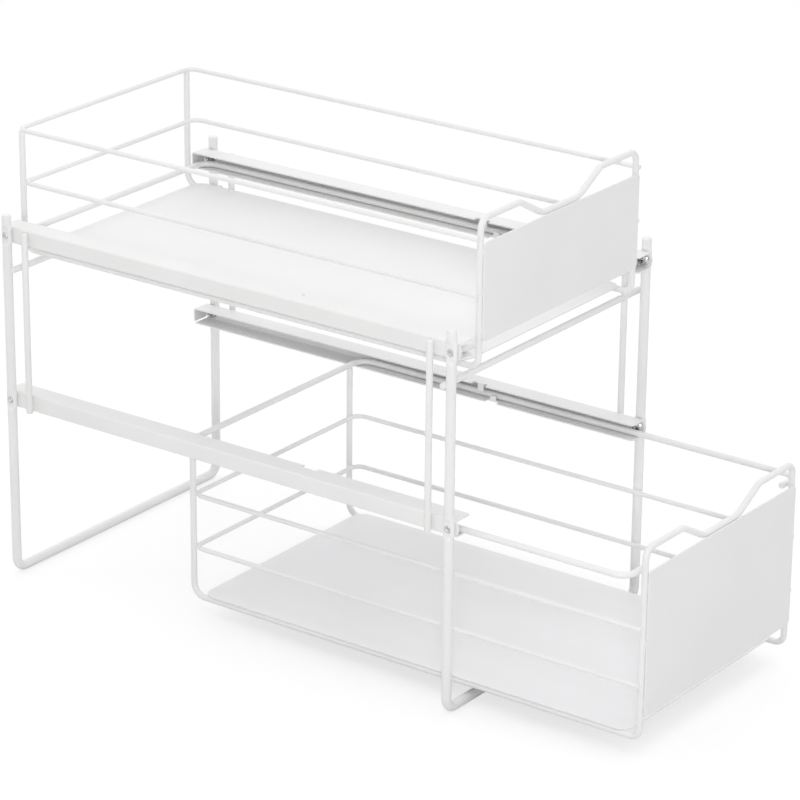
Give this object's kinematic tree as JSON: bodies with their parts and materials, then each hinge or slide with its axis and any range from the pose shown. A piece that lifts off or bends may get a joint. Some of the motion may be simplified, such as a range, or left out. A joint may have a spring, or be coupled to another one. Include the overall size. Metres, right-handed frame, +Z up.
{
  "type": "under sink organizer",
  "caption": "Two-tier white steel wire organizer: two baskets with sheet floors and fronts slide out forwards on channel rails between two U-shaped tube leg frames",
  "frame": {"origin": "on the floor under the middle of the stand, midway between its four posts and centred from side to side", "axes": "+X across the stand, to the right as seen from the front; +Y from the front, where the baskets come out, to the back; +Z up"},
  "size_m": [0.246, 0.5484, 0.3575],
  "materials": {
    "wire": "satin off-white powder coat on bent tube and wire",
    "sheet": "satin off-white powder coat on sheet steel",
    "rails": "satin off-white powder coat on folded sheet steel",
    "screws": "bright plated steel",
    "plugs": "off-white moulded plastic"
  },
  "bodies": {
    "frame": {"front_leg_frame": "wire", "rear_leg_frame": "wire", "tube_end_plugs": "plugs", "front_crossbar": "wire", "rear_crossbar": "wire", "front_left_stile": "wire", "front_right_stile": "wire", "rear_left_stile": "wire", "rear_right_stile": "wire", "upper_left_rail": "rails", "upper_right_rail": "rails", "lower_left_rail": "rails", "lower_right_rail": "rails", "rail_screws": "screws"},
    "upper_basket": {"upper_basket_frame_wire": "wire", "upper_basket_tray": "sheet", "upper_basket_front_panel": "sheet", "upper_basket_top_rim": "wire", "upper_basket_middle_rim": "wire", "upper_basket_runner": "wire"},
    "lower_basket": {"lower_basket_frame_wire": "wire", "lower_basket_tray": "sheet", "lower_basket_front_panel": "sheet", "lower_basket_runner": "wire", "lower_basket_upper_rim": "wire", "lower_basket_lower_rim": "wire"}
  },
  "joints": [
    {"name": "upper_basket_slide", "type": "slide", "parent": "frame", "child": "upper_basket", "axis": [0, -1, 0], "range_m": [0, 0.26]},
    {"name": "lower_basket_slide", "type": "slide", "parent": "frame", "child": "lower_basket", "axis": [0, -1, 0], "range_m": [-0.1372, 0.108]}
  ]
}
